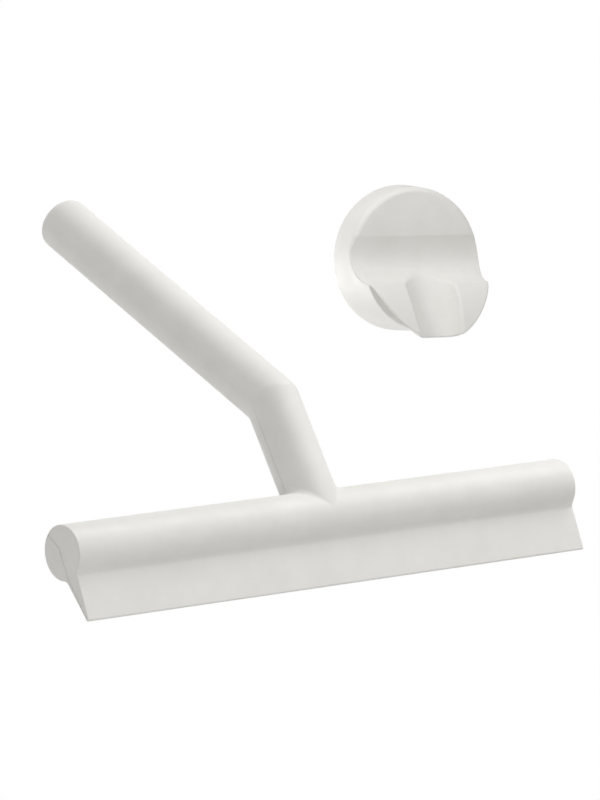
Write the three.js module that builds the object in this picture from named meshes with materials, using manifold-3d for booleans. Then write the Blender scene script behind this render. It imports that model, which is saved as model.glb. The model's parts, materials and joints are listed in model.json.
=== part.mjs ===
// Shower and window squeegee with its round wall holder.
// Millimetres, +Z up. The origin is the centre of the holder's back face, where it sticks to the wall.
// +Y points into the wall, so the room is on the -Y side, and X runs along the holder's trough.
// The wiper stands apart from the holder, as held in the hand. In its own frame the head lies along X,
// the blade points down -Z and the neck rises along +Z before the handle bends back towards +Y.
import * as THREE from "three";
import { mergeVertices } from "three/addons/utils/BufferGeometryUtils.js";
import Module from "manifold-3d";

const wasm = await Module();
wasm.setup();

const degrees = THREE.MathUtils.degToRad;

// ---------- driving dimensions ----------

const CLEARANCE = 0.3; // between neighbouring pieces
const OVERSHOOT = 1; // cutting bodies run this far past what they cut
const ROUND_SEGMENTS = 48; // facets round a tube
const SMALL_SEGMENTS = 24; // facets round a screw or a bore
const EDGE_STEPS = 5; // facets on a rounded edge
const TROUGH_STEPS = 24; // facets round the holder's trough
const LIP_STEPS = 10; // facets down the lip's face
const HEX_SIDES = 6;

// wiper: outer shape
const SKIN_RADIUS = 10.25; // head, neck and handle share one outer radius
const HEAD_LENGTH = 240.6;
const HEAD_EDGE = 0.6; // rounding of the head's end edges
const BLADE_REACH = 27; // head axis to wiping edge
const BLADE_ROOT_HALF = 4.2; // half thickness where the blade leaves the head
const BLADE_WAIST_HALF = 2.5; // half thickness where its flanks turn straight
const BLADE_WAIST_DROP = 5.4; // from the root down to that waist
const BLADE_HOLLOW_DROP = 0.4; // deepest point of the hollow flank, as a share of the waist's drop
const BLADE_HOLLOW = 0.35; // how far it lies inside the straight line
const BLADE_TIP_HALF = 0.7;
const NECK_LENGTH = 48.2; // head axis to the bend
const HANDLE_LENGTH = 138.7; // bend to the end face
const HANDLE_BEND = degrees(33.3);
const HANDLE_EDGE = 3; // rounding of the handle's end edge

// wiper: inner frame
const CORE_RADIUS = 7.5; // steel tubes under the skin
const CORE_WALL = 1;
const HEAD_END_SKIN = 1.7; // skin over the head's ends
const HANDLE_END_SKIN = 3.4; // skin over the handle's end
const PLUG_FLANGE = 1.7;
const PLUG_DEPTH = 8;
const NECK_CORE_FOOT = 0.65; // handle tube's foot above the top of the head
const INSERT_TOP = 28; // head axis to the top of the neck insert
const SCREW_RADIUS = 2.5;
const SCREW_TIP = 20; // head axis to the tip of the core screw
const SCREW_HEAD_RADIUS = 4.2;
const SCREW_HEAD_HEIGHT = 2.6;
const SCREW_CHAMFER_SHARE = 0.3; // tip's chamfer as a share of the radius
const HEX_SHARE = 0.55; // hex socket's radius as a share of the screw head's
const HEX_DEPTH_SHARE = 0.55; // and its depth as a share of the head's height

// wall holder: outer shape, all depths measured from the wall
const KNOB_RADIUS = 29; // at the wall
const KNOB_DRAFT = degrees(2); // the barrel narrows towards the room
const KNOB_EDGE = 0.9; // rounding of the knob's back edge
const PLATE_DEPTH = 15; // flat face above the trough
const PLATE_EDGE = 2.2; // rounding of its rim
const TROUGH_RADIUS = 13.3;
const TROUGH_BITE = 0.9; // the trough's back lies this far behind the flat face
const TROUGH_HEIGHT = 4.4; // knob's centre up to the trough's axis
const BARREL_DEPTH = 27.1; // wall to the barrel's rim and to the lip's crest
const LIP_SLOPE = degrees(32.5); // lip's face against the vertical, from crest to foot
const LIP_BULGE = 2.2; // its middle stands this far out of that straight line
const CHANNEL_RADIUS = 12.8; // notch that the neck hangs through, at the trough's axis
const CHANNEL_FOOT_RADIUS = 10.4; // and at its lower end
const CHANNEL_LENGTH = 40;
const CHANNEL_SLOPE = degrees(24.5);
const SNOUT_ROOT = 10; // the snout starts this far inside the barrel
const SNOUT_STEP = 0.2; // the barrel's rim stands this far proud of it
const SNOUT_BELLY = 5; // its deepest section lies this far in front of the rim
const SNOUT_BELLY_HALF_WIDTH = 26.3;
const SNOUT_BELLY_HALF_HEIGHT = 30.1; // from the knob's centre down
const SNOUT_FRONT_HALF_WIDTH = 23.6; // at the foremost point of the lip
const SNOUT_FRONT_HALF_HEIGHT = 29.8;
const HOLDER_BACK_GAP = 0.2; // skin's rim to the wall

// wall holder: inner pieces
const PAD_THICKNESS = 1.2;
const PAD_RADIUS = 24;
const WALL_PLATE_RADIUS = 24.5;
const WALL_PLATE_THICKNESS = 2.4;
const SPIGOT_RADIUS = 8;
const SPIGOT_LENGTH = 4.3;
const HOLDER_CORE_RADIUS = 25;
const HOLDER_CORE_FACE = 10.2; // wall to the front of its disc
const SOCKET_FLOOR = 2; // disc left in front of the spigot's socket
const CHEEK_FACE = 16.5; // wall to the front of the block behind the lip
const CHEEK_HALF_WIDTH = 15;
const CHEEK_TOP = -13;
const CHEEK_BOTTOM = -22;
const LOCK_RADIUS = 2;
const LOCK_LENGTH = 15.5;
const LOCK_ACCESS_RADIUS = 2.7; // hole through the skin for the key

// where the wiper is held, seen from the holder
const WIPER_PLACE = new THREE.Vector3(-111.65, -154.63, -87.21);
const WIPER_YAW = degrees(14.24);
const WIPER_TILT = degrees(-2.59);
const WIPER_LEAN = degrees(-29.54);

// ---------- materials ----------

function material(color, roughness, metalness) {
  return new THREE.MeshStandardMaterial({ color, roughness, metalness });
}

const silicone = material(0xdfdcd6, 0.62, 0);
const steel = material(0xb9bcc0, 0.35, 1);
const plastic = material(0xc9c8c4, 0.5, 0);
const foam = material(0xe8e6df, 0.8, 0);

// ---------- solids ----------

function solid(geometry) {
  const plain = geometry.clone();
  plain.deleteAttribute("normal");
  plain.deleteAttribute("uv");
  const merged = mergeVertices(plain, 1e-4);
  return new wasm.Manifold(
    new wasm.Mesh({
      numProp: 3,
      vertProperties: new Float32Array(merged.attributes.position.array),
      triVerts: new Uint32Array(merged.index.array),
    }),
  );
}

function geometryOf(body) {
  const mesh = body.getMesh();
  return new THREE.BufferGeometry()
    .setAttribute("position", new THREE.BufferAttribute(mesh.vertProperties, 3))
    .setIndex(new THREE.BufferAttribute(mesh.triVerts, 1));
}

// A closed profile of [radius, height] points turned about +Z.
function turned(profile, segments = ROUND_SEGMENTS) {
  const points = profile.map(([r, z]) => new THREE.Vector2(r, z));
  return solid(new THREE.LatheGeometry(points, segments).rotateX(Math.PI / 2));
}

// A rod along +Z from one height to another.
function rod(radius, from, to, segments = ROUND_SEGMENTS) {
  return turned([[0, from], [radius, from], [radius, to], [0, to]], segments);
}

function along(body, axis) {
  const turns = { x: [0, 90, 0], y: [90, 0, 0] };
  return body.rotate(turns[axis]);
}

// An outline of [y, z] points, extruded along X over the given span.
function prism(outline, fromX, toX) {
  const shape = new THREE.Shape(outline.map(([y, z]) => new THREE.Vector2(y, z)));
  const geometry = new THREE.ExtrudeGeometry(shape, { depth: toX - fromX, bevelEnabled: false });
  geometry.applyMatrix4(
    new THREE.Matrix4().makeBasis(
      new THREE.Vector3(0, 1, 0),
      new THREE.Vector3(0, 0, 1),
      new THREE.Vector3(1, 0, 0),
    ),
  );
  return solid(geometry.translate(fromX, 0, 0));
}

function box(from, to) {
  const size = to.map((high, i) => high - from[i]);
  const middle = to.map((high, i) => (high + from[i]) / 2);
  return solid(new THREE.BoxGeometry(...size).translate(...middle));
}

// Points of an arc, as [a, b] pairs, from one angle to another.
function arc(centreA, centreB, radius, from, to, steps = EDGE_STEPS) {
  return Array.from({ length: steps + 1 }, (_, i) => {
    const angle = from + ((to - from) * i) / steps;
    return [centreA + radius * Math.cos(angle), centreB + radius * Math.sin(angle)];
  });
}

// A solid through closed rings of points, capped at both ends. Rings run anticlockwise seen from the last one.
function lofted(rings) {
  const count = rings[0].length;
  const positions = rings.flat().flatMap((p) => [p.x, p.y, p.z]);
  const faces = [];
  for (let r = 0; r < rings.length - 1; r++) {
    for (let i = 0; i < count; i++) {
      const next = (i + 1) % count;
      const [a, b, c, d] = [r * count + i, r * count + next, (r + 1) * count + i, (r + 1) * count + next];
      faces.push(a, b, d, a, d, c);
    }
  }
  const last = (rings.length - 1) * count;
  for (let i = 1; i < count - 1; i++) {
    faces.push(0, i + 1, i);
    faces.push(last, last + i, last + i + 1);
  }
  const geometry = new THREE.BufferGeometry()
    .setAttribute("position", new THREE.Float32BufferAttribute(positions, 3))
    .setIndex(faces);
  return solid(geometry);
}

// A rod that follows the neck up to the mitred bend and then the handle. Its end may have a rounded edge.
function bentRod(radius, footZ, handleEnd, edge = 0) {
  const handleDirection = new THREE.Vector3(0, Math.sin(HANDLE_BEND), Math.cos(HANDLE_BEND));
  const handleSide = new THREE.Vector3(0, Math.cos(HANDLE_BEND), -Math.sin(HANDLE_BEND));
  const bend = new THREE.Vector3(0, 0, NECK_LENGTH);
  const circle = Array.from({ length: ROUND_SEGMENTS }, (_, i) => {
    const angle = (2 * Math.PI * i) / ROUND_SEGMENTS;
    return [Math.cos(angle), Math.sin(angle)];
  });
  const alongHandle = (scale, distance) =>
    circle.map(([c, s]) =>
      new THREE.Vector3(radius * scale * c, 0, 0)
        .addScaledVector(handleSide, radius * scale * s)
        .addScaledVector(handleDirection, distance)
        .add(bend),
    );
  const foot = circle.map(([c, s]) => new THREE.Vector3(radius * c, radius * s, footZ));
  const mitre = circle.map(([c, s]) => {
    const y = radius * s;
    return new THREE.Vector3(radius * c, y, NECK_LENGTH - y * Math.tan(HANDLE_BEND / 2));
  });
  const end = edge
    ? arc(radius - edge, handleEnd - edge, edge, 0, Math.PI / 2).map(([r, s]) => alongHandle(r / radius, s))
    : [alongHandle(1, handleEnd)];
  return lofted([foot, mitre, ...end]);
}

// ---------- wiper ----------

const headEnd = HEAD_LENGTH / 2;
const boreRadius = CORE_RADIUS + CLEARANCE; // inside of the skin
const coreInner = CORE_RADIUS - CORE_WALL;
const headBoreEnd = headEnd - HEAD_END_SKIN;
const headCoreEnd = headBoreEnd - PLUG_FLANGE - 2 * CLEARANCE;
const insertRadius = coreInner - CLEARANCE;

function headCover() {
  const edge = arc(SKIN_RADIUS - HEAD_EDGE, headEnd - HEAD_EDGE, HEAD_EDGE, 0, Math.PI / 2);
  const lowerEdge = edge.map(([r, z]) => [r, -z]).reverse();
  const skin = along(turned([[0, -headEnd], ...lowerEdge, ...edge, [0, headEnd]]), "x");
  const bore = along(rod(boreRadius, -headBoreEnd, headBoreEnd), "x");
  const neckHole = rod(insertRadius + CLEARANCE, 0, SKIN_RADIUS + OVERSHOOT, SMALL_SEGMENTS);
  return skin.subtract(bore).subtract(neckHole);
}

// The blade hugs the head's underside, thins along hollow flanks and ends in a rounded wiping edge.
function blade() {
  const seat = SKIN_RADIUS + CLEARANCE;
  const seatAngle = Math.asin(BLADE_ROOT_HALF / seat);
  const rootZ = -seat * Math.cos(seatAngle);
  const waistZ = rootZ - BLADE_WAIST_DROP;
  const hollow = [
    (BLADE_ROOT_HALF + BLADE_WAIST_HALF) / 2 - BLADE_HOLLOW,
    rootZ - BLADE_HOLLOW_DROP * BLADE_WAIST_DROP,
  ];
  const seatArc = arc(0, 0, seat, -Math.PI / 2 - seatAngle, -Math.PI / 2 + seatAngle);
  const tip = arc(0, -BLADE_REACH + BLADE_TIP_HALF, BLADE_TIP_HALF, 0, -Math.PI);
  const outline = [
    ...seatArc,
    hollow,
    [BLADE_WAIST_HALF, waistZ],
    ...tip,
    [-BLADE_WAIST_HALF, waistZ],
    [-hollow[0], hollow[1]],
  ];
  return prism(outline.reverse(), -headEnd, headEnd);
}

function headCore() {
  const tube = along(rod(CORE_RADIUS, -headCoreEnd, headCoreEnd), "x");
  const inside = along(rod(coreInner, -headCoreEnd - OVERSHOOT, headCoreEnd + OVERSHOOT), "x");
  const screwHole = rod(SCREW_RADIUS + CLEARANCE, 0, CORE_RADIUS + OVERSHOOT, SMALL_SEGMENTS);
  return tube.subtract(inside).subtract(screwHole);
}

// A plug with a stem inside a core tube and a flange over its end, pointing along +Z from the flange's back.
function plug() {
  return turned([
    [0, -PLUG_DEPTH],
    [insertRadius, -PLUG_DEPTH],
    [insertRadius, 0],
    [CORE_RADIUS, 0],
    [CORE_RADIUS, PLUG_FLANGE],
    [0, PLUG_FLANGE],
  ]);
}

function headPlug(side) {
  const seated = along(plug().translate([0, 0, headCoreEnd + CLEARANCE]), "x");
  return side > 0 ? seated : seated.rotate([0, 0, 180]);
}

function handleCover() {
  const skin = bentRod(SKIN_RADIUS, 0, HANDLE_LENGTH, HANDLE_EDGE);
  const bore = bentRod(boreRadius, -OVERSHOOT, HANDLE_LENGTH - HANDLE_END_SKIN);
  const saddle = along(rod(SKIN_RADIUS + CLEARANCE, -2 * SKIN_RADIUS, 2 * SKIN_RADIUS), "x");
  return skin.subtract(bore).subtract(saddle);
}

const handleCoreEnd = HANDLE_LENGTH - HANDLE_END_SKIN - PLUG_FLANGE - 2 * CLEARANCE;
const handleCoreFoot = SKIN_RADIUS + NECK_CORE_FOOT;

function handleCore() {
  const tube = bentRod(CORE_RADIUS, handleCoreFoot, handleCoreEnd);
  const inside = bentRod(coreInner, handleCoreFoot - OVERSHOOT, handleCoreEnd + OVERSHOOT);
  return tube.subtract(inside);
}

function handlePlug() {
  const bendTurn = -THREE.MathUtils.radToDeg(HANDLE_BEND);
  return plug()
    .translate([0, 0, handleCoreEnd + CLEARANCE])
    .rotate([bendTurn, 0, 0])
    .translate([0, 0, NECK_LENGTH]);
}

function neckInsert() {
  const seat = along(rod(CORE_RADIUS + CLEARANCE, -CORE_RADIUS, CORE_RADIUS), "x");
  const thread = rod(SCREW_RADIUS + CLEARANCE, 0, SCREW_TIP + 2 * CLEARANCE, SMALL_SEGMENTS);
  return rod(insertRadius, 0, INSERT_TOP).subtract(seat).subtract(thread);
}

// A screw pointing up +Z: its head's top is at the given height and a hex socket opens below.
function hexScrew(radius, headRadius, headTop, headHeight, tip) {
  const chamfer = SCREW_CHAMFER_SHARE * radius;
  const body = turned(
    [
      [0, headTop - headHeight],
      [headRadius, headTop - headHeight],
      [headRadius, headTop],
      [radius, headTop],
      [radius, tip - chamfer],
      [radius - chamfer, tip],
      [0, tip],
    ],
    SMALL_SEGMENTS,
  );
  const headFoot = headTop - headHeight;
  const socketTop = headFoot + headHeight * HEX_DEPTH_SHARE;
  return body.subtract(rod(headRadius * HEX_SHARE, headFoot - OVERSHOOT, socketTop, HEX_SIDES));
}

function coreScrew() {
  const underWall = Math.sqrt(coreInner ** 2 - SCREW_HEAD_RADIUS ** 2) - CLEARANCE;
  return hexScrew(SCREW_RADIUS, SCREW_HEAD_RADIUS, underWall, SCREW_HEAD_HEIGHT, SCREW_TIP);
}

// ---------- wall holder ----------

const troughDepth = PLATE_DEPTH - TROUGH_BITE + TROUGH_RADIUS; // wall to the trough's axis
const padFace = PAD_THICKNESS;
const wallPlateFace = padFace + WALL_PLATE_THICKNESS;
const spigotFace = wallPlateFace + SPIGOT_LENGTH;
const coreBack = wallPlateFace + CLEARANCE;
const lockDepth = (coreBack + HOLDER_CORE_FACE) / 2; // wall to the lock screw's axis
const barrelRim = KNOB_RADIUS - BARREL_DEPTH * Math.tan(KNOB_DRAFT);
const plateAngle = Math.acos((PLATE_DEPTH - troughDepth) / TROUGH_RADIUS); // trough's upper end
const lipAngle = 2 * Math.PI - Math.acos((BARREL_DEPTH - troughDepth) / TROUGH_RADIUS); // and its lower end
const plateFoot = TROUGH_HEIGHT + TROUGH_RADIUS * Math.sin(plateAngle);
const crestZ = TROUGH_HEIGHT + TROUGH_RADIUS * Math.sin(lipAngle);
const lipFoot = -SNOUT_BELLY_HALF_HEIGHT - OVERSHOOT;
const snoutDepth = BARREL_DEPTH + (crestZ - lipFoot) * Math.tan(LIP_SLOPE); // foremost point of the lip

// Depth from the wall becomes -Y.
function fromWall(body) {
  return along(body, "y");
}

// The lip's slightly domed face, as [depth, height] points from the crest down.
function lipFace() {
  const length = (crestZ - lipFoot) / Math.cos(LIP_SLOPE);
  return Array.from({ length: LIP_STEPS }, (_, i) => {
    const share = (i + 1) / LIP_STEPS;
    const out = 4 * LIP_BULGE * share * (1 - share);
    return [
      BARREL_DEPTH + share * length * Math.sin(LIP_SLOPE) + out * Math.cos(LIP_SLOPE),
      crestZ - share * length * Math.cos(LIP_SLOPE) + out * Math.sin(LIP_SLOPE),
    ];
  });
}

// Everything in front of the holder's face: above the plate, in the trough and before the sloping lip.
function frontSpace() {
  const trough = arc(troughDepth, TROUGH_HEIGHT, TROUGH_RADIUS, plateAngle, lipAngle, TROUGH_STEPS);
  const far = snoutDepth + OVERSHOOT;
  const side = Math.max(KNOB_RADIUS, SNOUT_BELLY_HALF_HEIGHT) + OVERSHOOT;
  const outline = [[far, side], [PLATE_DEPTH, side], ...trough, ...lipFace(), [far, lipFoot]];
  return prism(outline.map(([depth, z]) => [-depth, z]).reverse(), -side, side);
}

// The knob's body of revolution, up to a depth given by the last points of its profile.
function knobBody(frontPoints) {
  const backEdge = arc(KNOB_RADIUS - KNOB_EDGE, HOLDER_BACK_GAP + KNOB_EDGE, KNOB_EDGE, -Math.PI / 2, 0);
  const frontDepth = frontPoints[frontPoints.length - 1][1];
  return fromWall(
    turned([[0, HOLDER_BACK_GAP], ...backEdge, ...frontPoints, [0, frontDepth]], 2 * ROUND_SEGMENTS),
  );
}

// The notch for the neck: a round channel from the trough's axis, down and away from the wall.
function channel() {
  return turned([[0, 0], [CHANNEL_RADIUS, 0], [CHANNEL_FOOT_RADIUS, CHANNEL_LENGTH], [0, CHANNEL_LENGTH]])
    .rotate([180 - THREE.MathUtils.radToDeg(CHANNEL_SLOPE), 0, 0])
    .translate([0, -troughDepth, TROUGH_HEIGHT]);
}

// The snout in front of the barrel, through rings that turn from round to upright ovals.
function snout() {
  const ring = (halfWidth, halfHeight, depth) =>
    Array.from({ length: 2 * ROUND_SEGMENTS }, (_, i) => {
      const angle = (Math.PI * i) / ROUND_SEGMENTS;
      return new THREE.Vector3(halfWidth * Math.cos(angle), -depth, halfHeight * Math.sin(angle));
    });
  const root = barrelRim - SNOUT_STEP;
  return lofted([
    ring(root, root, BARREL_DEPTH - SNOUT_ROOT),
    ring(root, root, BARREL_DEPTH),
    ring(SNOUT_BELLY_HALF_WIDTH, SNOUT_BELLY_HALF_HEIGHT, BARREL_DEPTH + SNOUT_BELLY),
    ring(SNOUT_FRONT_HALF_WIDTH, SNOUT_FRONT_HALF_HEIGHT, snoutDepth),
  ]).intersect(box([-KNOB_RADIUS, -snoutDepth, lipFoot], [KNOB_RADIUS, 0, crestZ]));
}

function cheek(margin) {
  return box(
    [-CHEEK_HALF_WIDTH - margin, -CHEEK_FACE - margin, CHEEK_BOTTOM - margin],
    [CHEEK_HALF_WIDTH + margin, -coreBack, CHEEK_TOP + margin],
  );
}

function holderCover() {
  const faceRadius = KNOB_RADIUS - (PLATE_DEPTH - PLATE_EDGE) * Math.tan(KNOB_DRAFT);
  const rim = arc(faceRadius - PLATE_EDGE, PLATE_DEPTH - PLATE_EDGE, PLATE_EDGE, 0, Math.PI / 2);
  const side = KNOB_RADIUS + OVERSHOOT;
  const belowPlate = box([-side, -BARREL_DEPTH - OVERSHOOT, -side], [side, 0, plateFoot]);
  const barrel = knobBody([[barrelRim, BARREL_DEPTH]]).intersect(belowPlate);
  const pocket = fromWall(rod(HOLDER_CORE_RADIUS + CLEARANCE, 0, HOLDER_CORE_FACE + CLEARANCE));
  const access = rod(LOCK_ACCESS_RADIUS, -KNOB_RADIUS - OVERSHOOT, CHEEK_BOTTOM, SMALL_SEGMENTS);
  return knobBody(rim)
    .add(barrel)
    .add(snout())
    .subtract(frontSpace())
    .subtract(channel())
    .subtract(pocket)
    .subtract(cheek(CLEARANCE))
    .subtract(access.translate([0, -lockDepth, 0]));
}

function holderCore() {
  const disc = fromWall(rod(HOLDER_CORE_RADIUS, coreBack, HOLDER_CORE_FACE));
  const socket = fromWall(rod(SPIGOT_RADIUS + CLEARANCE, 0, HOLDER_CORE_FACE - SOCKET_FLOOR));
  const lockHole = rod(LOCK_RADIUS + CLEARANCE, -HOLDER_CORE_RADIUS - OVERSHOOT, 0, SMALL_SEGMENTS);
  return disc
    .add(cheek(0))
    .subtract(socket)
    .subtract(lockHole.translate([0, -lockDepth, 0]));
}

function wallPlate() {
  return fromWall(
    turned([
      [0, padFace],
      [WALL_PLATE_RADIUS, padFace],
      [WALL_PLATE_RADIUS, wallPlateFace],
      [SPIGOT_RADIUS, wallPlateFace],
      [SPIGOT_RADIUS, spigotFace],
      [0, spigotFace],
    ]),
  );
}

function adhesivePad() {
  return fromWall(rod(PAD_RADIUS, 0, padFace));
}

function lockScrew() {
  const tip = -SPIGOT_RADIUS - CLEARANCE;
  const foot = tip - LOCK_LENGTH;
  const socketDepth = LOCK_RADIUS;
  return rod(LOCK_RADIUS, foot, tip, SMALL_SEGMENTS)
    .subtract(rod(LOCK_RADIUS * HEX_SHARE, foot - OVERSHOOT, foot + socketDepth, HEX_SIDES))
    .translate([0, -lockDepth, 0]);
}

// ---------- assembly ----------

function piece(name, body, look) {
  const mesh = new THREE.Mesh(geometryOf(body), look);
  mesh.name = name;
  return mesh;
}

const wiper = new THREE.Group();
wiper.position.copy(WIPER_PLACE);
wiper.rotation.set(WIPER_LEAN, WIPER_TILT, WIPER_YAW, "ZYX");
wiper.add(
  piece("head_cover", headCover(), silicone),
  piece("blade", blade(), silicone),
  piece("head_core", headCore(), steel),
  piece("head_plug_left", headPlug(-1), plastic),
  piece("head_plug_right", headPlug(1), plastic),
  piece("handle_cover", handleCover(), silicone),
  piece("handle_core", handleCore(), steel),
  piece("handle_plug", handlePlug(), plastic),
  piece("neck_insert", neckInsert(), steel),
  piece("core_screw", coreScrew(), steel),
);

const holder = new THREE.Group();
holder.add(
  piece("holder_cover", holderCover(), silicone),
  piece("holder_core", holderCore(), plastic),
  piece("wall_plate", wallPlate(), steel),
  piece("adhesive_pad", adhesivePad(), foam),
  piece("lock_screw", lockScrew(), steel),
);

const squeegee = new THREE.Group();
squeegee.add(wiper, holder);

export default squeegee;
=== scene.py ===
"""The visual model of a silicone-skinned shower and window squeegee and its round wall holder.

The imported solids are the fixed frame, in metres. The silicone skins are modelled here as smooth fields in
millimetres and turned into meshes: one skin over the wiper's head, neck, handle and blade, and one over the
wall holder. The inner pieces keep their solids and get materials.
"""

import json
import math

import bpy
import numpy as np
from mathutils import Euler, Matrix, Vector


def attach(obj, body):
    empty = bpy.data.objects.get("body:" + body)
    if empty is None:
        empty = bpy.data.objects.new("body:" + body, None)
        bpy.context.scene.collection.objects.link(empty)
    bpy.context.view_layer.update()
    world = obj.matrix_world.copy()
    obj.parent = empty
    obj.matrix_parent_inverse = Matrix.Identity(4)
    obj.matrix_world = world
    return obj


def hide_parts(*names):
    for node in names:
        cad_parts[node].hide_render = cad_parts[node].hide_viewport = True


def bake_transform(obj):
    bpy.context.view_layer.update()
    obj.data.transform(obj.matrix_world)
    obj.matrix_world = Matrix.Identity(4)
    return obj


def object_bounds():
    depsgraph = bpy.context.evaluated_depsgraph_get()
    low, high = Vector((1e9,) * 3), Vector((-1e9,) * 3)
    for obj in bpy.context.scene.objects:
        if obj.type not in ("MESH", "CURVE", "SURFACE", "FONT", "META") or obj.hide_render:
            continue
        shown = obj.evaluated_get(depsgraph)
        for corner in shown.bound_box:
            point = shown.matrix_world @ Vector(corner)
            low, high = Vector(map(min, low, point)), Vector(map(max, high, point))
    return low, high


MM = 0.001

# ---------- wiper, in its own frame: head along X, blade down -Z, neck up +Z ----------

SKIN_RADIUS = 10.25
HEAD_LENGTH = 240.6
HALF_HEAD = HEAD_LENGTH / 2
HEAD_EDGE = 0.6
BLADE_REACH = 27
BLADE_EDGE_HALF = 0.5
BLADE_EDGE_ROUND = 0.45
# How far each flank of the blade moves out for each millimetre up from its edge.
BLADE_TAPER = 0.168
CREASE_FILLET = 1.1
NECK_FILLET = 3
# This share of the neck's fillet is left at the sides, where neck and head lie flush.
FLUSH_SHARE = 0.02
# The skin's grid ends on the neck, at this height. Rings of points carry the skin on from there.
NECK_CUT = 22
NECK_LENGTH = 48.2
HANDLE_LENGTH = 138.7
HANDLE_BEND = math.radians(33.3)
HANDLE_EDGE = 3
# The corner of the bend is softened over this length of the neck and of the handle.
BEND_SOFTNESS = 1.6

# The wiper is apart from the holder, as in the photo. The origin is the knob's axis at the wall.
WIPER_PLACE = Vector((-111.65, -154.63, -87.21))
WIPER_TURN = Euler((math.radians(-29.54), math.radians(-2.59), math.radians(14.24)), "XYZ")

# ---------- wall holder: depths from the wall, widths and heights from the knob's axis ----------

KNOB_RADIUS = 29
KNOB_DRAFT = math.radians(2)
KNOB_EDGE = 0.9
BACK_GAP = 0.2
PLATE_DEPTH = 15
BARREL_DEPTH = 27.1
TROUGH_RADIUS = 13.3
TROUGH_DEPTH = 27.4
TROUGH_HEIGHT = 4.4
# Edges: round the plate above the trough, round the barrel below it, where plate and trough meet, and where
# the trough comes out at the barrel's and the snout's front.
PLATE_EDGE = 2.2
RIM_EDGE = 0.55
PLATE_FOOT_EDGE = 0.12
CREST_EDGE = 0.45

# Below the trough's crest the lip's face comes forward, by LIP_SPREAD times a power of the drop from there.
# LIP_START is a first bit of drop that keeps the face from starting quite level.
LIP_SPREAD = 2.35
LIP_POWER = 0.55
LIP_START = 0.05
LIP_EDGE = 0.8
# A groove cuts the snout's sides back by UNDERCUT. It begins LIP_THICKNESS behind the lip's face and gets
# its depth over UNDERCUT_RUN. The snout's middle has none of it up to UNDERCUT_START on each side, and from
# there it gets its depth over UNDERCUT_FADE.
LIP_THICKNESS = 0.6
UNDERCUT = 2.4
UNDERCUT_RUN = 1.5
UNDERCUT_START = 8.5
UNDERCUT_FADE = 3
# The snout begins inside the barrel, at SNOUT_BACK, and is smaller by SNOUT_STEP. Past the barrel's front
# its half width shrinks, and its half height grows, by the first number times the distance and the second
# times the distance squared.
SNOUT_STEP = 0.2
SNOUT_BACK = 17
SNOUT_NARROWING = (0.2, 0.01)
SNOUT_DEEPENING = (0.7, -0.035)
STEP_FILLET = 0.5

# The notch for the neck is a cone that slopes down and forward from the trough's axis.
CHANNEL_RADIUS = 12.8
CHANNEL_TAPER = 0.09
CHANNEL_SLOPE = math.radians(24.5)
NOTCH_EDGE = 1.0

# Inside are a round pocket and a block's room for the core, and a hole for the lock screw's key.
POCKET_RADIUS = 25.3
POCKET_DEPTH = 10.5
CHEEK_HALF_WIDTH = 15.3
CHEEK_DEPTH = 16.8
CHEEK_TOP = -12.7
CHEEK_BOTTOM = -22.3
ACCESS_RADIUS = 2.7
ACCESS_DEPTH = 7.05


# ---------- fields: negative inside, in millimetres ----------


def round_union(a, b, radius):
    """Two solids joined, with a fillet of that radius where they meet."""
    fillet = np.hypot(np.maximum(radius - a, 0), np.maximum(radius - b, 0))
    return np.maximum(radius, np.minimum(a, b)) - fillet


def round_meet(a, b, radius):
    """What two solids have in common, with its edge rounded to that radius."""
    edge = np.hypot(np.maximum(radius + a, 0), np.maximum(radius + b, 0))
    return np.minimum(-radius, np.maximum(a, b)) + edge


def smooth_step(share):
    """0 up to 0, 1 from 1 on, and a smooth rise between."""
    share = np.clip(share, 0, 1)
    return share * share * (3 - 2 * share)


def blade_section(y, z):
    half = BLADE_EDGE_HALF + BLADE_TAPER * (z + BLADE_REACH)
    flank = (np.abs(y) - half) / math.hypot(1, BLADE_TAPER)
    return np.maximum(round_meet(flank, -BLADE_REACH - z, BLADE_EDGE_ROUND), z)


def wiper_field(x, y, z):
    """The head, the blade and an endless neck."""
    head_radius = np.hypot(y, z)
    neck_radius = np.hypot(x, y)
    section = round_union(head_radius - SKIN_RADIUS, blade_section(y, z), CREASE_FILLET)
    head = round_meet(section, np.abs(x) - HALF_HEAD, HEAD_EDGE)
    neck = np.maximum(neck_radius - SKIN_RADIUS, -z)
    # The two tubes lie flush at their sides, so the fillet fades out towards there.
    flush = y * y / np.maximum(head_radius * neck_radius, 1)
    return round_union(head, neck, NECK_FILLET * np.clip(1 - flush, FLUSH_SHARE, 1))


def knob_field(x, depth, z, trough):
    """The plate, and the barrel in front of its lower part, with the trough cut into both."""
    side = (np.hypot(x, z) - KNOB_RADIUS + depth * math.tan(KNOB_DRAFT)) * math.cos(KNOB_DRAFT)
    plate = round_meet(depth - PLATE_DEPTH, -trough, PLATE_FOOT_EDGE)
    barrel = round_meet(depth - BARREL_DEPTH, -trough, CREST_EDGE)
    front = np.minimum(plate, np.maximum(barrel, z - TROUGH_HEIGHT))
    high = np.clip((z - TROUGH_HEIGHT) / (TROUGH_RADIUS / 2), 0, 1)
    edge = RIM_EDGE + (PLATE_EDGE - RIM_EDGE) * high
    return round_meet(round_meet(side, front, edge), BACK_GAP - depth, KNOB_EDGE)


def lip_field(out, z):
    """All that lies behind the lip's face, which bellies forward just below the trough's crest."""
    crest = TROUGH_HEIGHT - math.sqrt(TROUGH_RADIUS**2 - (BARREL_DEPTH - TROUGH_DEPTH) ** 2)
    down = np.clip(crest - z, 0, None) + LIP_START
    reach = LIP_SPREAD * (down**LIP_POWER - LIP_START**LIP_POWER)
    steepness = LIP_SPREAD * LIP_POWER * down ** (LIP_POWER - 1)
    return (out - reach) / np.hypot(1, steepness)


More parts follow.
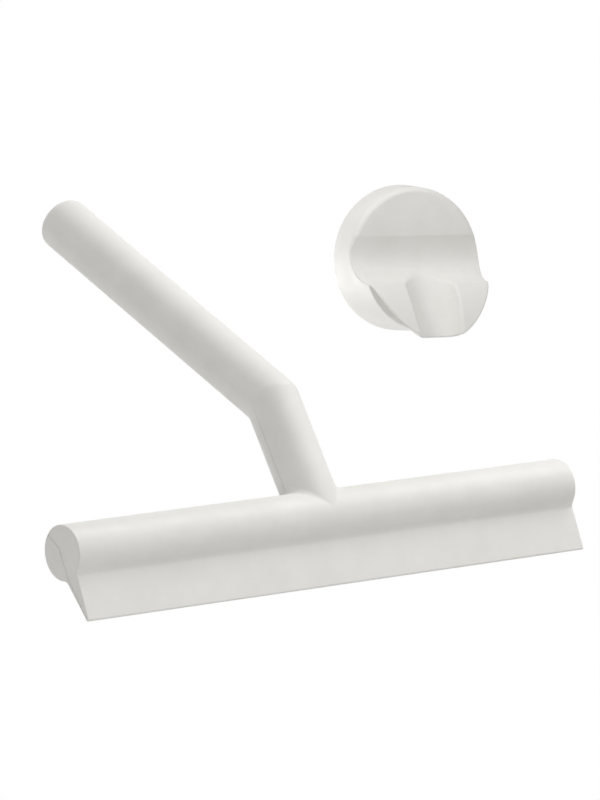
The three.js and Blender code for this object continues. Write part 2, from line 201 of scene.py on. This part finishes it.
def snout_field(x, depth, z, trough):
    """The snout in front of the barrel: round at its root, an upright oval towards the lip."""
    out = depth - BARREL_DEPTH
    past = np.clip(out, 0, None)
    root = KNOB_RADIUS - BARREL_DEPTH * math.tan(KNOB_DRAFT) - SNOUT_STEP
    half_width = root - SNOUT_NARROWING[0] * past - SNOUT_NARROWING[1] * past**2
    half_height = root + SNOUT_DEEPENING[0] * past + SNOUT_DEEPENING[1] * past**2
    oval = np.hypot(x / half_width, z / half_height)
    lip = lip_field(out, z)
    behind = smooth_step((-lip - LIP_THICKNESS) / UNDERCUT_RUN)
    aside = smooth_step((np.abs(x) - UNDERCUT_START) / UNDERCUT_FADE)
    snout = (oval - 1) * root + UNDERCUT * behind * aside
    snout = np.maximum(np.maximum(snout, SNOUT_BACK - depth), z - TROUGH_HEIGHT)
    return round_meet(round_meet(snout, lip, LIP_EDGE), -trough, CREST_EDGE)


def channel_field(x, depth, z):
    ahead, up = depth - TROUGH_DEPTH, z - TROUGH_HEIGHT
    along = ahead * math.sin(CHANNEL_SLOPE) - up * math.cos(CHANNEL_SLOPE)
    across = ahead * math.cos(CHANNEL_SLOPE) + up * math.sin(CHANNEL_SLOPE)
    return np.maximum(np.hypot(x, across) - CHANNEL_RADIUS + CHANNEL_TAPER * along, -along)


def hollow_field(x, depth, z):
    pocket = np.maximum(np.hypot(x, z) - POCKET_RADIUS, depth - POCKET_DEPTH)
    cheek = np.maximum(np.abs(x) - CHEEK_HALF_WIDTH, depth - CHEEK_DEPTH)
    cheek = np.maximum(cheek, np.maximum(z - CHEEK_TOP, CHEEK_BOTTOM - z))
    access = np.maximum(np.hypot(x, depth - ACCESS_DEPTH) - ACCESS_RADIUS, z - CHEEK_BOTTOM)
    return np.minimum(np.minimum(pocket, cheek), access)


def holder_field(x, y, z):
    depth = -y
    trough = np.hypot(depth - TROUGH_DEPTH, z - TROUGH_HEIGHT) - TROUGH_RADIUS
    knob = knob_field(x, depth, z, trough)
    snout = snout_field(x, depth, z, trough)
    notched = round_meet(round_union(knob, snout, STEP_FILLET), -channel_field(x, depth, z), NOTCH_EDGE)
    return np.maximum(notched, -hollow_field(x, depth, z))


# ---------- fields to meshes ----------

CELL_CORNERS = 8
# The steps that take points to the surface are kept short where the field is flatter than this.
LEAST_SQUARED_SLOPE = 0.05
TINY = 1e-9


def ruled(*spans):
    """Grid lines over neighbouring spans, each given as (from, to, step)."""
    lines = [np.array([spans[0][0]], float)]
    for start, end, step in spans:
        count = max(1, round((end - start) / step))
        lines.append(np.linspace(start, end, count + 1)[1:])
    return np.concatenate(lines)


def mirrored(lines):
    """Grid lines from 0 up, with their mirror images below 0."""
    return np.concatenate([-lines[:0:-1], lines])


def crossed_cells(inside):
    """The grid cells that the surface crosses, and a grid of their numbers."""
    shape = tuple(n - 1 for n in inside.shape)
    corners = np.zeros(shape, int)
    for offset in np.ndindex(2, 2, 2):
        corners += inside[tuple(slice(o, o + n) for o, n in zip(offset, shape))]
    crossed = (corners > 0) & (corners < CELL_CORNERS)
    numbers = np.full(shape, -1)
    numbers[crossed] = np.arange(crossed.sum())
    return np.argwhere(crossed), numbers


def cell_points(value, lines, cells):
    """A point in each cell: the middle of the places where the surface crosses the cell's edges."""
    total = np.zeros((len(cells), 3))
    hits = np.zeros(len(cells))
    for axis in range(3):
        others = [a for a in range(3) if a != axis]
        for first, second in np.ndindex(2, 2):
            start = cells.copy()
            start[:, others[0]] += first
            start[:, others[1]] += second
            end = start.copy()
            end[:, axis] += 1
            low, high = value[tuple(start.T)], value[tuple(end.T)]
            crossed = (low < 0) != (high < 0)
            share = np.where(crossed, low / np.where(crossed, low - high, 1), 0)
            point = np.stack([lines[a][start[:, a]] for a in range(3)], axis=1)
            point[:, axis] += share * (lines[axis][end[:, axis]] - point[:, axis])
            total[crossed] += point[crossed]
            hits[crossed] += 1
    return total / hits[:, None]


def edge_quads(inside, numbers):
    """A quad for each grid edge that crosses the surface, between the four cells round that edge. Its
    corners are the cells' numbers, in the order that makes it face outwards."""
    quads = []
    for axis in range(3):
        b, c = (axis + 1) % 3, (axis + 2) % 3
        low = [slice(1, -1)] * 3
        high = [slice(1, -1)] * 3
        low[axis], high[axis] = slice(None, -1), slice(1, None)
        before, after = inside[tuple(low)], inside[tuple(high)]
        for crossing, order in ((before & ~after, (0, 1, 2, 3)), (~before & after, (3, 2, 1, 0))):
            node = np.argwhere(crossing)
            node[:, b] += 1
            node[:, c] += 1
            ring = []
            for back_b, back_c in ((1, 1), (0, 1), (0, 0), (1, 0)):
                cell = node.copy()
                cell[:, b] -= back_b
                cell[:, c] -= back_c
                ring.append(numbers[tuple(cell.T)])
            quads.append(np.stack([ring[o] for o in order], axis=1))
    return np.concatenate(quads)


def surface_net(field, lines):
    """Points and quads of a field's zero surface, and the grid cell of each point."""
    value = field(*np.meshgrid(*lines, indexing="ij"))
    inside = value < 0
    cells, numbers = crossed_cells(inside)
    return cell_points(value, lines, cells), edge_quads(inside, numbers), cells


def slope(field, points, step=0.01):
    """The field's gradient at some points."""
    gradient = np.zeros_like(points)
    for axis in range(3):
        shift = np.zeros(3)
        shift[axis] = step
        ahead, behind = points + shift, points - shift
        gradient[:, axis] = (field(*ahead.T) - field(*behind.T)) / (2 * step)
    return gradient


def settled(field, points, rounds=4):
    """The points moved onto the field's zero surface."""
    for _ in range(rounds):
        gradient = slope(field, points)
        squared = np.maximum((gradient**2).sum(axis=1), LEAST_SQUARED_SLOPE)
        points = points - gradient * (field(*points.T) / squared)[:, None]
    return points


def unit(vectors):
    return vectors / np.maximum(np.linalg.norm(vectors, axis=1), TINY)[:, None]


def skin_object(name, points, faces, normals, seam, look, place=None, turn=None):
    """A smooth mesh from points in millimetres. It keeps those points, and the distance to the parting
    line, as attributes for its material."""
    spots = points
    if turn is not None:
        matrix = np.array(turn.to_matrix())
        points = points @ matrix.T + np.array(place)
        normals = normals @ matrix.T
    mesh = bpy.data.meshes.new(name)
    mesh.from_pydata((points * MM).tolist(), [], faces)
    mesh.shade_smooth()
    mesh.normals_split_custom_set_from_vertices(normals.tolist())
    spot = mesh.attributes.new("spot", "FLOAT_VECTOR", "POINT")
    spot.data.foreach_set("vector", spots.astype(np.float32).ravel())
    line = mesh.attributes.new("seam", "FLOAT", "POINT")
    line.data.foreach_set("value", seam.astype(np.float32))
    mesh.materials.append(look)
    made = bpy.data.objects.new(name, mesh)
    bpy.context.scene.collection.objects.link(made)
    return made


# ---------- skins ----------

# Spans of grid lines as (from, to, step), with the short steps where the surface turns sharply.
WIPER_SPANS_X = ((0, 18, 0.45), (18, HALF_HEAD - 1.5, 2.5), (HALF_HEAD - 1.5, HALF_HEAD + 0.3, 0.18))
WIPER_SPANS_Y = ((0, 1.4, 0.2), (1.4, SKIN_RADIUS + 0.7, 0.42))
WIPER_SPANS_Z = ((-27.5, -26, 0.19), (-26, -11.2, 0.5), (-11.2, -8, 0.25), (-8, NECK_CUT, 0.42))
HOLDER_SPAN_X = (0, KNOB_RADIUS + 0.6, 0.42)
HOLDER_SPAN_Y = (-42.31, 0.21, 0.42)
HOLDER_SPAN_Z = (-31.6, KNOB_RADIUS + 0.6, 0.42)

NECK_RINGS = 8
BEND_RINGS = 8
HANDLE_RINGS = 24
EDGE_RINGS = 10
# The rings on the handle's flat end, as shares of its radius.
CAP_SHARES = (0.75, 0.5, 0.25)

# A point belongs to one of the head's ends where its normal has more than this along X.
END_FACING = 0.7
# The parting line has a small kink on the head's ends: its places across, at some heights.
END_SEAM_HEIGHTS = (-BLADE_REACH, -9.3, 0.3, 1.9, 8.2)
END_SEAM_PLACES = (0, 1.75, 0.8, 0.3, 3.5)
# The distance to the parting line that points get where there is none.
FAR_FROM_SEAM = 50


def shares(count):
    """Even steps from 0 to 1, without the 0."""
    return np.linspace(0, 1, count + 1)[1:]


def handle_rings(angles):
    """Rings of (points, normals, seam distances) up the neck, round the bend and along the handle, and the
    (point, normal) at the middle of the handle's end."""
    c, s = np.cos(angles), np.sin(angles)
    zero = np.zeros_like(c)
    neck_normal = np.stack([c, s, zero], axis=1)
    heading = np.array([0, math.sin(HANDLE_BEND), math.cos(HANDLE_BEND)])
    sideways = np.array([0, math.cos(HANDLE_BEND), -math.sin(HANDLE_BEND)])
    handle_normal = np.outer(c, [1, 0, 0]) + np.outer(s, sideways)
    bend = np.array([0, 0, NECK_LENGTH])
    mitre_shift = SKIN_RADIUS * s * math.tan(HANDLE_BEND / 2)

    def neck(height):
        return np.stack([SKIN_RADIUS * c, SKIN_RADIUS * s, height], axis=1)

    def handle(radius, distance):
        return bend + radius * handle_normal + np.outer(distance, heading)

    seam = SKIN_RADIUS * s
    rings = []
    bend_start = NECK_LENGTH - mitre_shift - BEND_SOFTNESS
    for share in shares(NECK_RINGS):
        rings.append((neck(NECK_CUT + share * (bend_start - NECK_CUT)), neck_normal, seam))

    bend_end = mitre_shift + BEND_SOFTNESS
    corner = neck(NECK_LENGTH - mitre_shift)
    before, after = neck(bend_start), handle(SKIN_RADIUS, bend_end)
    for share in shares(BEND_RINGS):
        ring = (1 - share) ** 2 * before + 2 * share * (1 - share) * corner + share**2 * after
        rings.append((ring, unit((1 - share) * neck_normal + share * handle_normal), seam))

    straight_end = HANDLE_LENGTH - HANDLE_EDGE
    for share in shares(HANDLE_RINGS):
        ring = handle(SKIN_RADIUS, bend_end + share * (straight_end - bend_end))
        rings.append((ring, handle_normal, seam))

    cap_radius = SKIN_RADIUS - HANDLE_EDGE
    for turn in np.linspace(0, math.pi / 2, EDGE_RINGS + 1)[1:]:
        radius = cap_radius + HANDLE_EDGE * math.cos(turn)
        ring = handle(radius, zero + straight_end + HANDLE_EDGE * math.sin(turn))
        normal = math.cos(turn) * handle_normal + math.sin(turn) * heading
        rings.append((ring, normal, radius * s))
    for share in CAP_SHARES:
        ring = handle(share * cap_radius, zero + HANDLE_LENGTH)
        rings.append((ring, np.tile(heading, (len(c), 1)), share * cap_radius * s))
    return rings, (bend + HANDLE_LENGTH * heading, heading)


def ring_faces(loop, start, rings):
    """Quads from a loop of points through that many rings, and a fan from the last ring to a tip. The
    rings' points are numbered from start on, and the tip comes after them."""
    around = np.arange(len(loop))
    onward = np.roll(around, -1)
    faces = []
    below = loop
    for number in range(rings):
        above = start + number * len(loop) + around
        faces += np.stack([below, below[onward], above[onward], above], axis=1).tolist()
        below = above
    tip = start + rings * len(loop)
    faces += [[int(a), int(b), tip] for a, b in zip(below, below[onward])]
    return faces


def body_seam(points, normals):
    """Signed distance to the parting line. It lies in the middle plane, except for its kink on the head's
    ends, and the blade's flanks have none."""
    seam = points[:, 1].copy()
    ends = (np.abs(normals[:, 0]) > END_FACING) & (np.abs(points[:, 0]) > HALF_HEAD - HEAD_EDGE)
    seam[ends] = points[ends, 1] - np.interp(points[ends, 2], END_SEAM_HEIGHTS, END_SEAM_PLACES)
    seam[(points[:, 2] < -SKIN_RADIUS / 2) & ~ends] = FAR_FROM_SEAM
    return seam


def wiper_skin(look):
    lines = [mirrored(ruled(*WIPER_SPANS_X)), mirrored(ruled(*WIPER_SPANS_Y)), ruled(*WIPER_SPANS_Z)]
    points, quads, cells = surface_net(wiper_field, lines)
    points = settled(wiper_field, points)
    # The points of the top layer of cells form a loop round the neck. They go exactly onto its cut.
    top = cells[:, 2] == len(lines[2]) - 2
    radius = np.hypot(points[top, 0], points[top, 1])
    points[top, :2] *= (SKIN_RADIUS / radius)[:, None]
    points[top, 2] = NECK_CUT
    normals = unit(slope(wiper_field, points))
    seam = body_seam(points, normals)

    loop = np.flatnonzero(top)
    angles = np.arctan2(points[loop, 1], points[loop, 0])
    order = np.argsort(angles)
    loop, angles = loop[order], angles[order]
    normals[loop] = np.stack([np.cos(angles), np.sin(angles), 0 * angles], axis=1)
    rings, (tip, tip_normal) = handle_rings(angles)
    faces = quads.tolist() + ring_faces(loop, len(points), len(rings))
    ring_points, ring_normals, ring_seams = zip(*rings)
    points = np.concatenate([points, *ring_points, tip[None]])
    normals = np.concatenate([normals, *ring_normals, tip_normal[None]])
    seam = np.concatenate([seam, *ring_seams, [0]])
    return skin_object("wiper_skin", points, faces, normals, seam, look, WIPER_PLACE, WIPER_TURN)


def holder_skin(look):
    lines = [mirrored(ruled(HOLDER_SPAN_X)), ruled(HOLDER_SPAN_Y), ruled(HOLDER_SPAN_Z)]
    points, quads, _ = surface_net(holder_field, lines)
    points = settled(holder_field, points)
    normals = unit(slope(holder_field, points))
    seam = np.full(len(points), float(FAR_FROM_SEAM))
    return skin_object("holder_skin", points, quads.tolist(), normals, seam, look)


# ---------- materials ----------


class Look:
    """A node material under construction."""

    def __init__(self, name):
        self.material = bpy.data.materials.new(name)
        self.material.use_nodes = True
        self.nodes = self.material.node_tree.nodes
        self.links = self.material.node_tree.links
        self.shader = self.nodes["Principled BSDF"]

    def node(self, kind, **settings):
        made = self.nodes.new(kind)
        for key, value in settings.items():
            setattr(made, key, value)
        return made

    def join(self, output, target):
        self.links.new(output, target)

    def math(self, operation, *values):
        made = self.node("ShaderNodeMath", operation=operation)
        for socket, value in zip(made.inputs, values):
            if isinstance(value, (int, float)):
                socket.default_value = value
            else:
                self.join(value, socket)
        return made.outputs[0]

    def noise(self, place, scale, detail=3, roughness=0.5):
        made = self.node("ShaderNodeTexNoise")
        self.join(place, made.inputs["Vector"])
        made.inputs["Scale"].default_value = scale
        made.inputs["Detail"].default_value = detail
        made.inputs["Roughness"].default_value = roughness
        return made.outputs["Fac"]

    def ranged(self, value, source=(0, 1), target=(0, 1)):
        """The value moved from one range to another, and held within that."""
        made = self.node("ShaderNodeMapRange")
        self.join(value, made.inputs["Value"])
        made.inputs["From Min"].default_value = source[0]
        made.inputs["From Max"].default_value = source[1]
        made.inputs["To Min"].default_value = target[0]
        made.inputs["To Max"].default_value = target[1]
        return made.outputs["Result"]

    def mixed(self, share, first, second):
        made = self.node("ShaderNodeMix", data_type="RGBA")
        self.join(share, made.inputs["Factor"])
        for key, value in (("A", first), ("B", second)):
            socket = [i for i in made.inputs if i.name == key and i.type == "RGBA"][0]
            if isinstance(value, tuple):
                socket.default_value = (*value, 1)
            else:
                self.join(value, socket)
        return [o for o in made.outputs if o.type == "RGBA"][0]

    def bumped(self, height, distance, strength=1.0, under=None):
        """A normal from a height, whose full range is that distance in metres."""
        made = self.node("ShaderNodeBump")
        made.inputs["Distance"].default_value = distance
        made.inputs["Strength"].default_value = strength
        self.join(height, made.inputs["Height"])
        if under is not None:
            self.join(under, made.inputs["Normal"])
        return made.outputs["Normal"]

    def finish(self, colour, roughness, normal, **plain):
        for key, value in plain.items():
            self.shader.inputs[key.replace("_", " ")].default_value = value
        self.join(colour, self.shader.inputs["Base Color"])
        self.join(roughness, self.shader.inputs["Roughness"])
        self.join(normal, self.shader.inputs["Normal"])
        return self.material


SILICONE_LIGHT = (0.776, 0.766, 0.735)
SILICONE_DEEP = (0.746, 0.734, 0.7)
SILICONE_SEAM = (0.62, 0.605, 0.575)
SPECK_SHARE = 0.2
# The parting line is full up to the first of these distances in millimetres, and gone at the second.
SEAM_FADE = (0.08, 0.3)
SEAM_SHARE = 0.7
# On the handle, past the bend, this share of the line is left.
HANDLE_SEAM_SHARE = 0.1

STEEL_DARK = (0.50, 0.51, 0.53)
STEEL_LIGHT = (0.64, 0.65, 0.67)
# The steel's streaks run along X: its noise is this much finer across them.
STEEL_STRETCH = 40
PLASTIC_DARK = (0.56, 0.555, 0.54)
PLASTIC_LIGHT = (0.62, 0.615, 0.60)
FOAM_DARK = (0.70, 0.69, 0.66)
FOAM_LIGHT = (0.80, 0.79, 0.76)
PORES_PER_METRE = 1100
# The middle part of a noise, which is spread over a roughness range.
NOISE_MIDDLE = (0.3, 0.7)


def silicone():
    """The skins' material, in their own millimetres."""
    look = Look("silicone")
    spot = look.node("ShaderNodeAttribute", attribute_name="spot").outputs["Vector"]
    seam = look.node("ShaderNodeAttribute", attribute_name="seam").outputs["Fac"]
    clouds = look.ranged(look.noise(spot, scale=0.06, detail=4, roughness=0.6), source=(0.35, 0.65))
    specks = look.ranged(look.noise(spot, scale=1.6, detail=2), source=(0.55, 0.75))
    body = look.mixed(clouds, SILICONE_LIGHT, SILICONE_DEEP)
    body = look.mixed(look.math("MULTIPLY", specks, SPECK_SHARE), body, SILICONE_DEEP)
    axes = look.node("ShaderNodeSeparateXYZ")
    look.join(spot, axes.inputs[0])
    bend = (NECK_LENGTH - SKIN_RADIUS, NECK_LENGTH)
    kept = look.ranged(axes.outputs["Z"], source=bend, target=(1, HANDLE_SEAM_SHARE))
    line = look.ranged(look.math("ABSOLUTE", seam), source=SEAM_FADE, target=(1, 0))
    line = look.math("MULTIPLY", line, kept)
    body = look.mixed(look.math("MULTIPLY", line, SEAM_SHARE), body, SILICONE_SEAM)
    grain = look.noise(spot, scale=3.5, detail=3, roughness=0.6)
    grained = look.bumped(grain, distance=0.00004, strength=0.5)
    ridged = look.bumped(line, distance=0.00015, under=grained)
    rough = look.ranged(look.noise(spot, scale=0.15), source=NOISE_MIDDLE, target=(0.5, 0.62))
    return look.finish(body, rough, ridged, IOR=1.41, Sheen_Weight=0.12, Sheen_Roughness=0.5)


def brushed_steel():
    look = Look("brushed_steel")
    place = look.node("ShaderNodeTexCoord").outputs["Object"]
    stretch = look.node("ShaderNodeMapping")
    stretch.inputs["Scale"].default_value = (1, STEEL_STRETCH, STEEL_STRETCH)
    look.join(place, stretch.inputs["Vector"])
    streaks = look.noise(stretch.outputs["Vector"], scale=60, detail=4, roughness=0.6)
    colour = look.mixed(streaks, STEEL_DARK, STEEL_LIGHT)
    rough = look.ranged(streaks, source=NOISE_MIDDLE, target=(0.26, 0.42))
    normal = look.bumped(streaks, distance=0.00003, strength=0.4)
    return look.finish(colour, rough, normal, Metallic=1.0)


def moulded_plastic():
    look = Look("moulded_plastic")
    place = look.node("ShaderNodeTexCoord").outputs["Object"]
    colour = look.mixed(look.noise(place, scale=70), PLASTIC_DARK, PLASTIC_LIGHT)
    rough = look.ranged(look.noise(place, scale=400, detail=2), source=NOISE_MIDDLE, target=(0.42, 0.55))
    normal = look.bumped(look.noise(place, scale=1800, detail=2), distance=0.00003, strength=0.5)
    return look.finish(colour, rough, normal, IOR=1.49)


def adhesive_foam():
    look = Look("adhesive_foam")
    place = look.node("ShaderNodeTexCoord").outputs["Object"]
    cells = look.node("ShaderNodeTexVoronoi")
    cells.inputs["Scale"].default_value = PORES_PER_METRE
    look.join(place, cells.inputs["Vector"])
    pores = look.ranged(cells.outputs["Distance"], source=(0.1, 0.6))
    colour = look.mixed(pores, FOAM_DARK, FOAM_LIGHT)
    rough = look.ranged(pores, target=(0.85, 0.7))
    normal = look.bumped(pores, distance=0.00012, strength=0.6)
    return look.finish(colour, rough, normal, IOR=1.45)


# ---------- camera, light and floor ----------

CAMERA_PLACE = (-1.10885, -2.17487, 0.11801)
CAMERA_AZIMUTH = math.radians(-26.1)
CAMERA_ELEVATION = math.radians(4.1)
CAMERA_LENS = 275.95
CAMERA_REACH = 50
SENSOR_WIDTH = 36
WHITE = (1, 1, 1)
WORLD_STRENGTH = 0.3
FLOOR_DROP = 0.35
FLOOR_REACH = 4
FLOOR_COLOUR = (0.82, 0.82, 0.81)
FLOOR_ROUGHNESS = 0.9

# The photo shows the wiper and the holder in different light, so each has its own round softboxes. Each is
# given by its direction's azimuth and elevation in degrees, its diameter in metres and its power in watts.
WIPER_MIDDLE = (-0.09, -0.11, -0.07)
WIPER_LAMP_DISTANCE = 1.5
WIPER_LAMPS = {
    "top_right": (0, 55, 0.7, 12.9),
    "top_front": (300, 55, 0.7, 6.7),
    "low_front": (240, -12, 0.7, 5.1),
    "back_left": (140, 22, 0.7, 5.0),
    "low_left": (200, -30, 0.7, 2.4),
}
HOLDER_MIDDLE = (0, -0.02, 0)
HOLDER_LAMP_DISTANCE = 0.4
HOLDER_LAMPS = {
    "back_left": (116, -12, 0.25, 1.0),
    "top_left": (180, 50, 0.1, 0.48),
    "left": (200, 0, 0.15, 0.28),
    "low_front": (240, -50, 0.25, 0.1),
    "top_front": (280, 50, 0.1, 0.74),
}


def add_camera():
    camera = bpy.data.cameras.new("camera")
    camera.lens = CAMERA_LENS
    camera.sensor_width = SENSOR_WIDTH
    camera.clip_end = CAMERA_REACH
    held = bpy.data.objects.new("camera", camera)
    held.location = CAMERA_PLACE
    held.rotation_euler = (math.pi / 2 - CAMERA_ELEVATION, 0, CAMERA_AZIMUTH)
    bpy.context.scene.collection.objects.link(held)
    bpy.context.scene.camera = held


def group_of(name, objects):
    """A collection that lamps can be told to light."""
    group = bpy.data.collections.new(name)
    for member in objects:
        group.objects.link(member)
    return group


def add_lamp(name, middle, distance, azimuth, elevation, size, power, lit):
    """A round softbox that lights one group of objects only, placed by its direction from their middle."""
    lamp = bpy.data.lights.new(name, "AREA")
    lamp.shape = "DISK"
    lamp.size = size
    lamp.energy = power
    across, up = math.radians(azimuth), math.radians(elevation)
    heading = Vector((math.cos(across) * math.cos(up), math.sin(across) * math.cos(up), math.sin(up)))
    held = bpy.data.objects.new(name, lamp)
    held.location = Vector(middle) + distance * heading
    held.rotation_euler = (-heading).to_track_quat("-Z", "Y").to_euler()
    held.visible_camera = False
    held.light_linking.receiver_collection = lit
    bpy.context.scene.collection.objects.link(held)


def seen_directly(nodes, links):
    """1 for rays that show the background itself: from the camera, in a gloss or through glass."""
    path = nodes.new("ShaderNodeLightPath")
    total = path.outputs["Is Camera Ray"]
    for name in ("Is Glossy Ray", "Is Transmission Ray"):
        step = nodes.new("ShaderNodeMath")
        step.operation = "MAXIMUM"
        links.new(total, step.inputs[0])
        links.new(path.outputs[name], step.inputs[1])
        total = step.outputs[0]
    return total


def white_where_seen(tree, plain, white, surface):
    """Shows the white shader to rays that show the background itself, and the plain one to all others."""
    nodes, links = tree.nodes, tree.links
    choice = nodes.new("ShaderNodeMixShader")
    links.new(seen_directly(nodes, links), choice.inputs["Fac"])
    links.new(plain.outputs[0], choice.inputs[1])
    links.new(white.outputs[0], choice.inputs[2])
    links.new(choice.outputs[0], surface)


def light_world(strength, colour):
    world = bpy.data.worlds.new("studio")
    world.use_nodes = True
    bpy.context.scene.world = world
    nodes = world.node_tree.nodes
    plain = nodes["Background"]
    plain.inputs["Color"].default_value = (*colour, 1)
    plain.inputs["Strength"].default_value = strength
    white = nodes.new("ShaderNodeBackground")
    white.inputs["Color"].default_value = (*WHITE, 1)
    white.inputs["Strength"].default_value = 1
    white_where_seen(world.node_tree, plain, white, nodes["World Output"].inputs["Surface"])


def floor_look():
    look = bpy.data.materials.new("floor")
    look.use_nodes = True
    nodes = look.node_tree.nodes
    plain = nodes["Principled BSDF"]
    plain.inputs["Base Color"].default_value = (*FLOOR_COLOUR, 1)
    plain.inputs["Roughness"].default_value = FLOOR_ROUGHNESS
    white = nodes.new("ShaderNodeEmission")
    white.inputs["Strength"].default_value = 1
    white_where_seen(look.node_tree, plain, white, nodes["Material Output"].inputs["Surface"])
    return look


def add_floor(lowest):
    mesh = bpy.data.meshes.new("floor")
    reach, height = FLOOR_REACH, lowest - FLOOR_DROP
    corners = [(-reach, -reach), (reach, -reach), (reach, reach), (-reach, reach)]
    mesh.from_pydata([(x, y, height) for x, y in corners], [], [(0, 1, 2, 3)])
    mesh.materials.append(floor_look())
    floor = bpy.data.objects.new("floor", mesh)
    bpy.context.scene.collection.objects.link(floor)
    return floor


# ---------- the scene ----------

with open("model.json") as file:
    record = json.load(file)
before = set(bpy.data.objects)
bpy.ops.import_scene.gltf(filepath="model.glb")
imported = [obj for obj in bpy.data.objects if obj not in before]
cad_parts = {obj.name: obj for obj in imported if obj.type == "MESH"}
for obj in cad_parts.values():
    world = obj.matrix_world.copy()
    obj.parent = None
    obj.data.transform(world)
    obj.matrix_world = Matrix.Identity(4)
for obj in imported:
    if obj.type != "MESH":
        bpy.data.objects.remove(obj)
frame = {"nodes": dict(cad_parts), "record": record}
cad_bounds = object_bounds()

bpy.context.scene.view_settings.view_transform = "Standard"
add_camera()
light_world(WORLD_STRENGTH, WHITE)
floor = add_floor(cad_bounds[0][2])

skin_look = silicone()
looks = {
    "steel": brushed_steel(),
    "inner_plastic": moulded_plastic(),
    "foam": adhesive_foam(),
    "silicone": skin_look,
}
for part in frame["record"]["subparts"]:
    node = frame["nodes"][part["node"]]
    node.data.materials.clear()
    node.data.materials.append(looks[part["material_slot"]])

wiper = wiper_skin(skin_look)
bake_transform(wiper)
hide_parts("head_cover", "handle_cover", "blade")

holder = holder_skin(skin_look)
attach(holder, "holder")
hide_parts("holder_cover")

bodies = frame["record"]["behaviour"]["bodies"]
wiper_lit = group_of("wiper_lit", [wiper, floor, *[frame["nodes"][n] for n in bodies["wiper"]]])
for name, settings in WIPER_LAMPS.items():
    add_lamp(f"wiper_{name}", WIPER_MIDDLE, WIPER_LAMP_DISTANCE, *settings, wiper_lit)
holder_lit = group_of("holder_lit", [holder, *[frame["nodes"][n] for n in bodies["holder"]]])
for name, settings in HOLDER_LAMPS.items():
    add_lamp(f"holder_{name}", HOLDER_MIDDLE, HOLDER_LAMP_DISTANCE, *settings, holder_lit)
